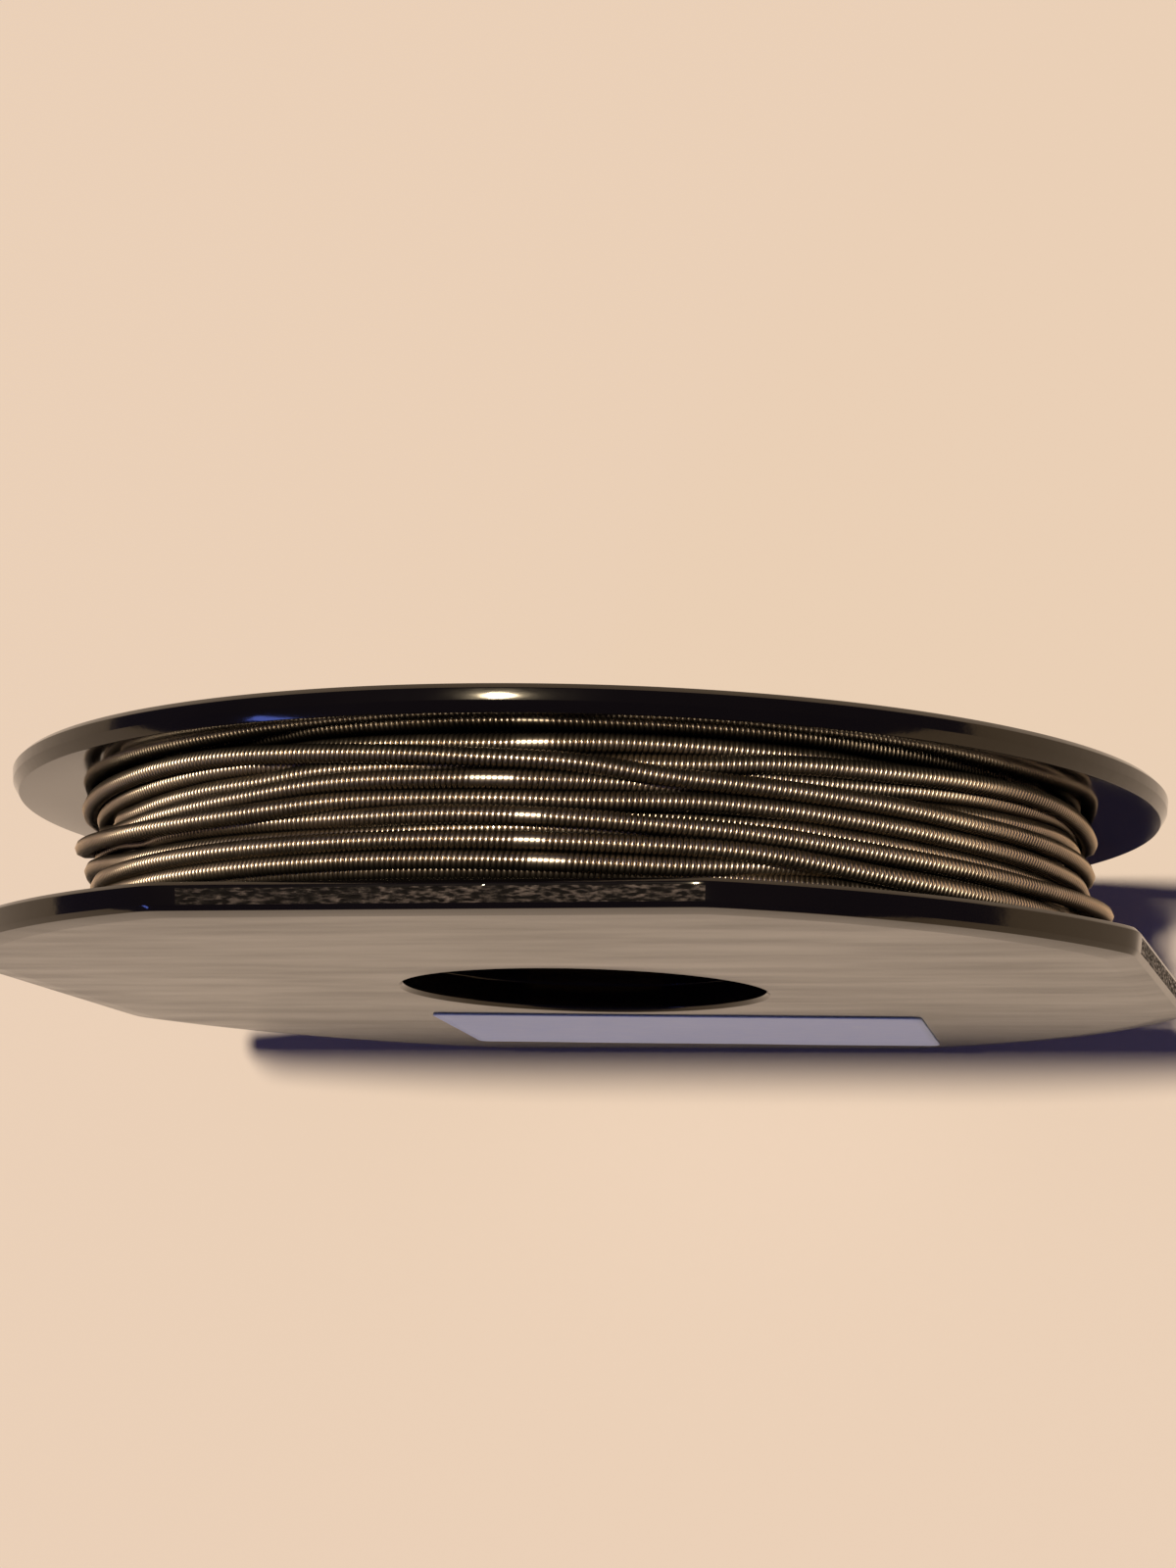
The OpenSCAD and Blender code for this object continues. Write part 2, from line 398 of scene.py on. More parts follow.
def turned(name, angles, columns, materials):
    """A closed ring body. columns[i] is the outline, as (radius, y), at angles[i]."""
    columns = np.asarray(columns)
    around, per_column = columns.shape[:2]
    sine, cosine = np.sin(angles)[:, None], np.cos(angles)[:, None]
    points = np.stack([columns[..., 0] * sine, columns[..., 1], columns[..., 0] * cosine], -1)
    ids = np.arange(around * per_column).reshape(around, per_column)
    quads = grid_quads(np.pad(ids, (0, 1), "wrap"))
    part = quad_mesh(name, points.reshape(-1, 3), quads, materials[0])
    for material in materials[1:]:
        part.data.materials.append(material)
    return part


# ---------- the mouldings ----------

ARC_STEP = 0.75  # degrees between columns
FIRST_COLUMN = 0.001  # radians
FLAT_STEP = 0.2  # between columns along a flat
KEY_STEP = FULL_TURN / KEY_COUNT
KEY_SLACK = 0.0008  # radians between a key's side and the columns beside it
KEY_LEAD = 0.05  # length of the slope at a key's foot

ROUND_DRAFT = 0.045  # how far each rim leans in
FLAT_DRAFT = 0.07
CORNER_SOFTNESS = 0.12  # of the corners between flats and arcs
EDGE_ROUNDING = 0.05
BEVEL_ROUNDING = 0.06
BORDER_ROUNDING = 0.25
BORE_ROUNDING = 0.03
SLEEVE_ROUNDING = 0.1

FLAT_HALF_ANGLE = math.acos(FLANGE_R / CORNER_R)
SIDE_LOW = FLAT_BEVEL  # a flat's side face, as heights above the flange's inner face
SIDE_HIGH = FLANGE_T - BORDER_DROP - RIM_CHAMFER
SIDE_ROWS = 7

# The part of a side face that is rough, as angles from the flat's middle and as y
ROUGH_FROM = math.radians(2.4) - FLAT_HALF_ANGLE
ROUGH_TO = math.radians(0.2) + FLAT_HALF_ANGLE
ROUGH_LOW = -INNER_Y - SIDE_HIGH
ROUGH_HIGH = -INNER_Y - SIDE_LOW - (SIDE_HIGH - SIDE_LOW) / SIDE_ROWS
DENTED_SHARE = 0.98  # keeps the rows on its two edges straight
DENT_DEPTH = 0.05
DENT_SEED = 7
DENT_SMOOTHING = 2

FACE_INDEX = 1  # places in a moulding's list of materials, after the one of its rim
CUT_INDEX = 2
SQUARE_NORMAL = 0.98  # a face is square to the spool's axis when its normal's y is larger


def flange_corners(bevel_w, bevel_h, inner_draft, outer_draft):
    """A flange's outer corners as (inset from the rim, height above the inner face, rounding)."""
    return [
        (bevel_w, 0, BEVEL_ROUNDING),
        (inner_draft, bevel_h, BEVEL_ROUNDING),
        (outer_draft, SIDE_HIGH, EDGE_ROUNDING),
        (RIM_CHAMFER, FLANGE_T - BORDER_DROP, EDGE_ROUNDING),
        (BORDER_W, FLANGE_T, BORDER_ROUNDING),
    ]


def on_key(angle, width, radius):
    """Whether a key is at this angle."""
    off = abs((angle + KEY_STEP / 2) % KEY_STEP - KEY_STEP / 2)
    return off * radius < width / 2


def key_sides(width, radius):
    """Angles just inside and just outside of each key's sides."""
    half = width / 2 / radius
    return {(i * KEY_STEP + side * (half + out * KEY_SLACK)) % FULL_TURN
            for i in range(KEY_COUNT) for side in (-1, 1) for out in (-1, 1)}


def mark_square_faces(part):
    """Gives the faces that are square to the spool's axis their own material."""
    for face in part.data.polygons:
        if abs(face.normal.y) > SQUARE_NORMAL:
            face.material_index = FACE_INDEX


def round_half(materials):
    """Round flange and sleeve, with the keys on the sleeve."""
    even = set(np.radians(np.arange(0, 360, ARC_STEP)) + FIRST_COLUMN)
    angles = np.array(sorted(even | key_sides(KEY_W, SLEEVE_R)))
    foot = INNER_Y - KEY_L
    corners = flange_corners(ROUND_BEVEL_W, ROUND_BEVEL_H, ROUND_DRAFT, 0)
    rim = [(FLANGE_R - inset, INNER_Y + height, rounding) for inset, height, rounding in corners]
    columns = []
    for angle in angles:
        key_top = SLEEVE_R + KEY_H * on_key(angle, KEY_W, SLEEVE_R)
        columns.append(rounded([
            (BORE_R, -INNER_Y, BORE_ROUNDING),
            (SLEEVE_R, -INNER_Y, SLEEVE_ROUNDING),
            (SLEEVE_R, foot - KEY_LEAD, 0),
            (key_top, foot, 0),
            (key_top, INNER_Y, 0),
            *rim,
            (BORE_R + BORE_CHAMFER, FACE_Y, EDGE_ROUNDING),
            (BORE_R, FACE_Y - BORE_CHAMFER, EDGE_ROUNDING),
        ]))
    part = turned("round_flange", angles, with_rings(columns), materials)
    mark_square_faces(part)
    return part


def off_flat(angle):
    """Angle from the middle of the nearest flat."""
    return (angle + QUARTER_TURN / 2) % QUARTER_TURN - QUARTER_TURN / 2


def flat_sided_reach(angle, inset):
    """Distance from the axis to the outline, moved in by inset."""
    flat = (FLANGE_R - inset) / math.cos(off_flat(angle))
    arc = CORNER_R - inset
    return -CORNER_SOFTNESS * np.logaddexp(-flat / CORNER_SOFTNESS, -arc / CORNER_SOFTNESS)


def flat_sided_angles():
    """Even steps along each flat, and even angles round each corner."""
    half_flat = FLANGE_R * math.tan(FLAT_HALF_ANGLE)
    along = np.arange(-half_flat, half_flat, FLAT_STEP)
    flat = np.arctan(along / FLANGE_R)
    arc = np.arange(FLAT_HALF_ANGLE, QUARTER_TURN - FLAT_HALF_ANGLE, math.radians(ARC_STEP))
    quarter = np.concatenate([flat, arc])
    return np.concatenate([quarter + i * QUARTER_TURN for i in range(4)]) % FULL_TURN


def flat_sided_half(materials):
    """Flat-sided flange and barrel, with the keys' grooves in the barrel."""
    groove_w = KEY_W + 2 * PLUG_CLEARANCE
    barrel_bore = SLEEVE_R + PLUG_CLEARANCE
    groove_foot = INNER_Y - KEY_L - PLUG_CLEARANCE
    angles = np.array(sorted(set(flat_sided_angles()) | key_sides(groove_w, barrel_bore)))
    corners = flange_corners(FLAT_BEVEL, FLAT_BEVEL, 0, FLAT_DRAFT)
    columns = []
    for angle in angles:
        groove_r = barrel_bore + KEY_H * on_key(angle, groove_w, barrel_bore)
        rim = [(flat_sided_reach(angle, inset), -INNER_Y - height, rounding)
               for inset, height, rounding in corners]
        side_from, side_to = rim[1][0], rim[2][0]
        side = [(side_from + (side_to - side_from) * j / SIDE_ROWS,
                 -INNER_Y - SIDE_LOW - (SIDE_HIGH - SIDE_LOW) * j / SIDE_ROWS, 0)
                for j in range(1, SIDE_ROWS)]
        section = [
            (BORE_R + BORE_CHAMFER, -FACE_Y, EDGE_ROUNDING),
            (BORE_R, -FACE_Y + BORE_CHAMFER, EDGE_ROUNDING),
            (BORE_R, -INNER_Y, EDGE_ROUNDING),
            (barrel_bore, -INNER_Y, 0),
            (barrel_bore, groove_foot - KEY_LEAD, 0),
            (groove_r, groove_foot, 0),
            (groove_r, INNER_Y, 0),
            (BARREL_R, INNER_Y, EDGE_ROUNDING),
            (BARREL_R, -INNER_Y, 0),
            *rim[:2], *side, *rim[2:],
        ]
        section.reverse()
        columns.append(rounded(section))
    columns = with_rings(columns)
    roughen_flats(angles, columns)
    part = turned("flat_sided_flange", angles, columns, materials)
    mark_square_faces(part)
    mark_cut_faces(part)
    return part


def rough_noise(size, seed):
    """A row of seeded random values from -1 to 1, smoothed along the row."""
    values = np.random.default_rng(seed).standard_normal(size)
    for _ in range(DENT_SMOOTHING):
        values = (values + np.roll(values, 1) + np.roll(values, -1)) / 3
    return values / np.abs(values).max()


def roughen_flats(angles, columns):
    """Presses the flats' side faces in unevenly."""
    on_flat = np.array([ROUGH_FROM < off_flat(a) < ROUGH_TO for a in angles])
    middle, half = (ROUGH_LOW + ROUGH_HIGH) / 2, (ROUGH_HIGH - ROUGH_LOW) / 2
    on_rim = columns[0, :, 0] > FLANGE_R - BORDER_W
    dented = np.abs(columns[0, :, 1] - middle) < half * DENTED_SHARE
    for k in np.nonzero(on_rim & dented)[0]:
        dents = np.abs(rough_noise(len(angles), DENT_SEED + k)) * DENT_DEPTH
        columns[:, k, 0] -= np.where(on_flat, dents, 0)


def mark_cut_faces(part):
    """Gives the rough part of the flats' side faces its own material."""
    for face in part.data.polygons:
        x, y, z = (c / MM for c in face.center)
        on_side = ROUGH_LOW < y < ROUGH_HIGH and math.hypot(x, z) > FLANGE_R - BORDER_W
        if on_side and ROUGH_FROM < off_flat(math.atan2(x, z)) < ROUGH_TO:
            face.material_index = CUT_INDEX


# ---------- the wire ----------

STRAND_D = 0.92
STRAND_SIDES = 8
WRAP_PITCH = 0.255  # distance between the ribs of the wrapping
RIB_CREST_R = STRAND_D / 2
RIB_VALLEY_R = 0.31
# A rib's flank, from its flat crest down: share of its half width, share of its height, and wear,
# which also darkens it as painted shade
RIB_FLANK = [(0.157, 1.0, 1.0), (0.314, 0.993, 0.82), (0.706, 0.838, 0.82), (0.95, 0.464, 0.5)]
PLAIN_RIB_FLANK = [(0.62, 0.9, 0.8)]

# Short stretches where the ribs are rubbed smooth: upper turn, angle in degrees, and half length
RUBBED_SPOTS = [(1, 10.3, 0.85), (4, 8.3, 0.6), (5, 4.3, 1.0), (7, 8.3, 0.8), (11, 8.3, 0.65)]
SPOT_WEAR_AND_SHADE = 0.84
SPOT_PEAK = 1.8  # above 1, so that a spot is wholly smooth in its middle
# Rubbing fades on the strand's sides, and the wear falls there into painted shade, as OUTER_FALL
# times the spin's cosine, less an end
OUTER_FALL = 2.4
RUBBED_END = 0.8
WORN_AND_SHADED_END = 1.4
LEAST_WEAR_AND_SHADE = 0.05

FIRST_LAYER_R = 23.45
SIDE_Y = INNER_Y - STRAND_D / 2
# Where the camera is: degrees round the spool, and its slope towards -Y
SIGHT_ANGLE = math.degrees(math.atan2(CAMERA_PLACE[0], CAMERA_PLACE[2]))
SIGHT_SLOPE = -CAMERA_PLACE[1] / math.hypot(CAMERA_PLACE[0], CAMERA_PLACE[2])
STEEPEST_SIGHT = 78  # degrees off the camera's side at which the slope stops growing

# The strand, turn by turn, as it was wound. Each key is an angle in degrees, a place across the
# spool and a level. A place is where the crest shows on a cylinder of radius SEEN_R, looking from
# the camera. Level 0 rests on the first layer, level 1 in the grooves between turns at level 0,
# and BURIED is out of sight, pressed into the first layer.
SEEN_R = 25.0
LEVEL_0_R = 24.25
LEVEL_STEP = 0.7
BURIED = -1.0
BURIED_BELOW = BURIED * 0.75
FIRST_LAYER_PLACES = [3.19, 2.25, 1.31, 0.37, -0.57, -1.51, -2.45, -3.19]
FIRST_TURNS = len(FIRST_LAYER_PLACES) - 1  # turns before the upper ones
# The first layer reaches its last place, and leaves it, so many turns before the upper ones
LAST_PLACE_TURNS = (0.8, 0.68)
UPPER_TURNS = [
    [(-80, -2.45, -0.6), (-22, -2.52, -0.6), (-5, -2.68, -0.6), (5, -2.68, -0.6),
     (18, -2.55, -0.6), (80, -2.6, -0.6), (140, -2.2, 0)],
    [(-180, -2.15, 0), (-75, -1.95, 0.3), (-30, -2.03, 0.5), (-10, -2.15, 0.5), (11, -2.3, 0.5),
     (20, -2.32, 0.5), (40, -2.2, 0.2), (80, -2.3, -0.2), (140, -1.95, 0)],
    [(-180, -1.65, 0), (-110, -0.4, 0.6), (-75, 0.17, 0.75), (-68, 0.02, 0.75), (-60, -0.5, 0.5),
     (-50, -0.93, 0.3), (-30, -0.85, 0.1), (-10, -0.77, 0),
     (0, -0.78, 0), (15, -0.9, -0.4), (22, -1.0, BURIED), (50, -1.42, BURIED),
     (80, -1.5, BURIED), (140, -1.2, 0)],
    [(-75, 0.2, BURIED), (-30, 0.1, BURIED), (0, 0.15, BURIED), (30, -0.1, BURIED),
     (45, -0.32, -0.2), (65, -0.45, -0.2), (80, -0.5, -0.2)],
    [(-110, 0.8, 0), (-75, 0.78, 0), (-66, 0.7, -0.1), (-60, 0.5, BURIED), (-50, -0.15, BURIED),
     (-30, -0.2, -0.3), (-20, -0.27, 0),
     (-10, -0.1, 0.6), (0, -0.12, 1.0), (10, -0.26, 1.0), (20, -0.4, 1.0), (30, -0.62, 1.0),
     (50, -0.9, 1.0), (70, -1.1, 1.0), (80, -0.95, 1.6), (90, -0.45, 2.3), (97, 0.0, 2.5),
     (108, -0.4, 1.6), (135, -0.9, 0.6)],
    [(-75, 0.95, BURIED), (-60, 1.0, 0), (-50, 1.05, 0.5), (-40, 1.18, 0.5), (-30, 1.3, 0.6),
     (-20, 1.38, 0.8), (-10, 1.43, 0.9), (5, 1.47, 1.0), (15, 1.43, 0.7), (24, 1.45, BURIED),
     (48, 1.6, BURIED), (57, 1.68, -0.2), (80, 1.85, -0.2)],
    [(-75, 1.3, BURIED), (-58, 1.35, BURIED), (-52, 1.4, -0.4), (-45, 1.5, -0.3),
     (-38, 1.62, -0.2), (-30, 1.9, 0), (-15, 1.93, 0), (-2, 1.98, 0), (6, 2.0, BURIED),
     (26, 1.93, BURIED), (35, 1.93, 0), (40, 1.97, 0.1), (50, 2.22, 0.1), (60, 2.4, 0.2),
     (80, 2.63, 0.3)],
    [(-75, 3.1, BURIED), (-22, 3.12, BURIED), (-10, 3.15, 0.1), (0, 3.07, 0.3),
     (15, 3.05, 0.3), (25, 3.1, 0.3), (35, 3.13, 0), (45, 3.13, BURIED), (80, 3.15, BURIED)],
    [(-75, 2.4, 0.1), (-57, 2.43, 0.1), (-50, 2.5, 0.1), (-40, 2.55, 0.1), (-30, 2.47, 0),
     (-25, 2.43, -0.2), (-18, 2.43, BURIED), (8, 2.43, BURIED), (14, 2.43, 0), (20, 2.43, 0.3),
     (30, 2.55, 0.6), (40, 2.72, 0.9), (50, 2.83, 1.0), (60, 2.95, 1.0), (70, 3.05, 1.0)],
    [(-75, 3.17, 1.0), (-30, 3.14, 1.0), (-20, 3.02, 1.05), (-10, 2.8, 1.1), (0, 2.5, 1.2),
     (10, 2.18, 1.1), (20, 1.82, 1.1), (30, 1.6, 1.1), (40, 1.38, 1.0), (50, 1.28, 1.0),
     (60, 1.18, 1.0), (80, 1.12, 1.0)],
    [(-110, 1.9, 1.4), (-75, 1.95, 1.5), (-65, 1.3, 1.5), (-60, 1.05, 1.5), (-55, 0.85, 1.5),
     (-50, 0.68, 1.5), (-40, 0.47, 1.4), (-30, 0.38, 1.2), (-20, 0.43, 0.9), (-10, 0.52, 0.6),
     (0, 0.63, 0.4), (20, 0.77, 0.4), (30, 0.68, 0.5), (40, 0.55, 0.5), (50, 0.4, 0.6),
     (60, 0.2, 0.6), (80, -0.05, 0.6)],
    [(-90, -0.8, 0.3), (-68, -0.95, 0.3), (-60, -1.13, 0.4), (-56, -1.23, 0.8), (-50, -1.35, 1.0),
     (-40, -1.37, 1.0),
     (-10, -1.32, 1.0), (10, -1.4, 1.0), (20, -1.48, 1.0), (30, -1.6, 1.0), (50, -1.85, 1.0),
     (60, -1.98, 1.0), (75, -2.15, 1.3), (97, -2.5, 1.9), (108, -2.7, 1.6), (135, -3.19, 0),
     (174, -3.19, 0)],
]
LAST_ANGLE = 174  # degrees, where the last turn ends
# The angles at which the keys hold. Elsewhere the strand settles freely
TRACED = (-75, 100)
TRACED_FADE = 8  # degrees over which the keys let go

SAMPLES = 360  # for each turn
PLACE_BLUR = 3  # degrees, as are all blurs
LEVEL_BLUR = 2
LAST_BLUR = 2

RISE_PER_TURN = 0.16  # at the start, where no key holds
SETTLING_STEPS = 160
# What each step of settling does
STEP_BLUR = 1.2
PLACE_PULL = 0.12  # share of the way to the keyed place
LEVEL_PULL = 0.25  # share of the way to the keyed level
SINKING = 0.02  # where no key holds
PUSH = 0.7  # share of an overlap with another turn that is undone
FREE_SHARE = 0.5  # each turn's share of the push when both can move

TURNS_PER_PIECE = 2
RIBS_LEFT_OUT = 2  # at the strand's end


def smoothed(values, degrees):
    """The values with a Gaussian blur of that many degrees."""
    sigma = degrees * SAMPLES / 360
    reach = math.ceil(3 * sigma)
    weights = np.exp(-0.5 * (np.arange(-reach, reach + 1) / sigma) ** 2)
    return np.convolve(np.pad(values, reach, "edge"), weights / weights.sum(), "valid")


def keyed_turns():
    """Places and levels of all turns, each as one row of samples from -180 to 180 degrees."""
    count = FIRST_TURNS + len(UPPER_TURNS)
    turn = np.arange(count * SAMPLES) / SAMPLES - 0.5
    keys = [(i - 0.5, place, BURIED) for i, place in enumerate(FIRST_LAYER_PLACES[:-1])]
    keys += [(FIRST_TURNS - off, FIRST_LAYER_PLACES[-1], BURIED) for off in LAST_PLACE_TURNS]
    keys += [(FIRST_TURNS + i + angle / 360, place, level)
             for i, keyed in enumerate(UPPER_TURNS) for angle, place, level in keyed]
    turns, places, levels = zip(*keys)
    place = smoothed(np.interp(turn, turns, places), PLACE_BLUR)
    level = smoothed(np.interp(turn, turns, levels), LEVEL_BLUR)
    return turn, place.reshape(count, -1), level.reshape(count, -1)


def strand_route():
    """Angle in turns, radius and y of the whole strand's middle line, settled under tension."""
    turn, place, level = keyed_turns()
    angle = np.arange(SAMPLES) * 360 / SAMPLES - 180
    after_start = np.clip((angle - TRACED[0]) / TRACED_FADE + 1, 0, 1)
    before_end = np.clip((TRACED[1] - angle) / TRACED_FADE + 1, 0, 1)
    known = after_start * before_end
    off_sight = np.clip(angle - SIGHT_ANGLE, -STEEPEST_SIGHT, STEEPEST_SIGHT)
    slope = SIGHT_SLOPE / np.cos(np.radians(off_sight))
    wanted_r = LEVEL_0_R + LEVEL_STEP * level
    order = np.arange(len(place))[:, None] - FIRST_TURNS
    radius = np.where(known > 0.5, wanted_r, LEVEL_0_R + RISE_PER_TURN * order)
    radius[:FIRST_TURNS] = FIRST_LAYER_R
    seen = known * np.ones_like(place)
    seen[:FIRST_TURNS] = 0

    def wanted_y():
        """Where the keys put the strand across the spool, at its radius so far."""
        return place - seen * (radius + RIB_CREST_R - SEEN_R) * slope

    across = wanted_y()
    solid = ~((level < BURIED_BELOW) & (known > 0.5))
    solid[:FIRST_TURNS] = True
    others = ~np.eye(len(place), dtype=bool)[:, :, None]
    meeting = others & solid[:, None] & solid[None]
    for _ in range(SETTLING_STEPS):
        across += PLACE_PULL * (wanted_y() - across)
        radius += LEVEL_PULL * known * (wanted_r - radius) - SINKING * (1 - known)
        radius[FIRST_TURNS:] = np.maximum(radius[FIRST_TURNS:], FIRST_LAYER_R)
        away_y = across[:, None] - across[None]
        away_r = radius[:, None] - radius[None]
        apart = np.hypot(away_y, away_r) + TINY
        push = np.where(meeting, np.maximum(STRAND_D - apart, 0), 0)
        push[FIRST_TURNS:, FIRST_TURNS:] *= FREE_SHARE
        push = PUSH * push / apart
        across[FIRST_TURNS:] += (push * away_y).sum(axis=1)[FIRST_TURNS:]
        radius[FIRST_TURNS:] += (push * away_r).sum(axis=1)[FIRST_TURNS:]
        across = np.clip(across, -SIDE_Y, SIDE_Y)
        across = smoothed(across.ravel(), STEP_BLUR).reshape(place.shape)
        radius = smoothed(radius.ravel(), STEP_BLUR).reshape(place.shape)
        radius[:FIRST_TURNS - 1] = FIRST_LAYER_R
    shown = turn <= len(place) - 1 + LAST_ANGLE / 360
    radius = smoothed(radius.ravel(), LAST_BLUR)
    across = smoothed(across.ravel(), LAST_BLUR)
    return turn[shown], radius[shown], across[shown]


def strand_line(route):
    """The strand's middle line: distance along it, angle, radius, y and direction."""
    turn, radius, across = route
    angle = turn * FULL_TURN
    points = np.stack([radius * np.sin(angle), across, radius * np.cos(angle)], -1)
    along = np.concatenate([[0], np.cumsum(np.linalg.norm(np.diff(points, axis=0), axis=1))])
    ahead = np.gradient(points, axis=0)
    ahead /= np.linalg.norm(ahead, axis=1)[:, None]
    return along, angle, radius, across, ahead


def line_at(line, place):
    """Points and directions at these distances along the strand."""
    along, angle, radius, across, ahead = line
    a, r, y = (np.interp(place, along, values) for values in (angle, radius, across))
    direction = np.stack([np.interp(place, along, ahead[:, c]) for c in range(3)], -1)
    return np.stack([r * np.sin(a), y, r * np.cos(a)], -1), direction


def rib_profile(flank):
    """Points along one rib: share of the pitch, share of the rib's height, and wear with its
    painted shade.
    """
    rising = [((1 - half) / 2, height, wear_and_shade) for half, height, wear_and_shade in reversed(flank)]
    falling = [((1 + half) / 2, height, wear_and_shade) for half, height, wear_and_shade in flank]
    return np.array([(0.0, 0.0, 0.0), *rising, *falling]).T


def rubbed_spots(line, along):
    """How far the ribs are rubbed smooth here, from 0 to 1."""
    turns = np.interp(along, line[0], line[1]) / FULL_TURN
    amount = np.zeros_like(turns)
    for turn, angle, half in RUBBED_SPOTS:
        off = (turns - FIRST_TURNS - turn - angle / 360) * FULL_TURN * SEEN_R / half
        amount += np.clip(SPOT_PEAK * np.exp(-off**4), 0, 1)
    return amount


def ribbed_strand(name, line, first_rib, ribs, flank, material):
    """Part of the strand, with the wrapping's ribs as a helix round it.

    A row of points winds from the strand's inner side once round it, one pitch ahead at its end.
    """
    shares, heights, worn_and_shaded = rib_profile(flank)
    steps = len(shares)
    rows = ribs * steps + 1
    i, k = np.meshgrid(np.arange(rows), np.arange(STRAND_SIDES), indexing="ij")
    along = WRAP_PITCH * (first_rib + i // steps + shares[i % steps] + k / STRAND_SIDES)
    middle, ahead = line_at(line, along)
    sideways = np.array([0.0, 1.0, 0.0]) - ahead[..., 1:2] * ahead
    sideways /= np.linalg.norm(sideways, axis=-1)[..., None]
    outward = np.cross(ahead, sideways)
    spin = math.pi + FULL_TURN * k / STRAND_SIDES
    outer = OUTER_FALL * np.cos(spin)
    spots = rubbed_spots(line, along)
    height = heights[i % steps]
    height = height + (1 - height) * spots * np.clip(outer - RUBBED_END, 0, 1)
    rib = RIB_VALLEY_R + (RIB_CREST_R - RIB_VALLEY_R) * height
    points = middle + (rib * np.cos(spin))[..., None] * outward
    points = points + (rib * np.sin(spin))[..., None] * sideways
    # The wear also carries painted shade: it falls towards the strand's sides and darkens them.
    wear_and_shade = worn_and_shaded[i % steps]
    wear_and_shade = (wear_and_shade + (SPOT_WEAR_AND_SHADE - wear_and_shade) * spots) * np.clip(outer - WORN_AND_SHADED_END, LEAST_WEAR_AND_SHADE, 1)
    ids = i * STRAND_SIDES + k
    joined = np.stack([ids[:-steps, -1], ids[steps:, 0]], -1)
    quads = np.concatenate([grid_quads(ids), grid_quads(joined)])
    points, wear_and_shade = points.reshape(-1, 3), wear_and_shade.ravel()
    fans = []  # one over each open end
    for rim in [[*ids[0, :], *ids[steps:0:-1, 0]], [*ids[-1 - steps:-1, -1], *ids[-1, ::-1]]]:
        centre = len(points)
        points = np.concatenate([points, points[rim].mean(axis=0)[None]])
        wear_and_shade = np.append(wear_and_shade, 0)
        fans.append([(centre, a, b) for a, b in zip(rim, rim[1:] + rim[:1])])
    return quad_mesh(name, points, quads, material, fans, wear_and_shade)


def add_wire(upper, lower_painted_shade):
    """The strand in pieces that meet rib to rib, each within what one mesh may hold.

    They meet at the turns' undersides. The first layer is one piece of its own.
    """
    route = strand_route()
    line = strand_line(route)
    pieces = len(UPPER_TURNS) // TURNS_PER_PIECE
    ends = FIRST_TURNS - 0.5 + TURNS_PER_PIECE * np.arange(pieces + 1)
    marks = (np.interp(ends, route[0], line[0]) / WRAP_PITCH).astype(int)
    marks[-1] -= RIBS_LEFT_OUT
    # The first layer gets the wire's darker copy, a painted shade.
    first = ribbed_strand("wire_first_layer", line, 0, marks[0], PLAIN_RIB_FLANK, lower_painted_shade)
    turns = [ribbed_strand(f"wire_turns_{n + 1}", line, a, b - a, RIB_FLANK, upper)
             for n, (a, b) in enumerate(zip(marks[:-1], marks[1:]))]
    return first, turns


# ---------- the layers below ----------

DEEP_GROOVE_W = 0.94
DEEP_GROOVE_DEPTH = 0.12
DEEP_GAP = 0.02  # to the flanges, the barrel and the first layer
DEEP_ROWS = 61
DEEP_STEP = 2.0  # degrees between columns


def deep_layers(material):
    """The layers under the first one that shows, as one ring grooved like wound wire."""
    side = INNER_Y - DEEP_GAP
    top = FIRST_LAYER_R - STRAND_D / 2 - DEEP_GAP
    across = np.linspace(-INNER_Y + DEEP_GAP, side, DEEP_ROWS)
    groove = 0.5 + 0.5 * np.cos(FULL_TURN * across / DEEP_GROOVE_W)
    outline = [(BARREL_R + DEEP_GAP, side), (BARREL_R + DEEP_GAP, -INNER_Y + DEEP_GAP)]
    outline += list(zip(top - DEEP_GROOVE_DEPTH * groove, across))
    angles = np.radians(np.arange(0, 360, DEEP_STEP))
    return turned("wire_deep_layers", angles, [outline] * len(angles), [material])


# ---------- the label ----------

LABEL_COLUMNS = 53
LABEL_ROWS = 29
LABEL_CORNER_R = 0.5
WAVE_H = 0.012  # half the height of the label's waves
WAVE_X = (0.55, 0.8)  # radians per millimetre, and radians at the label's middle
WAVE_Z = (0.9, 0.3)


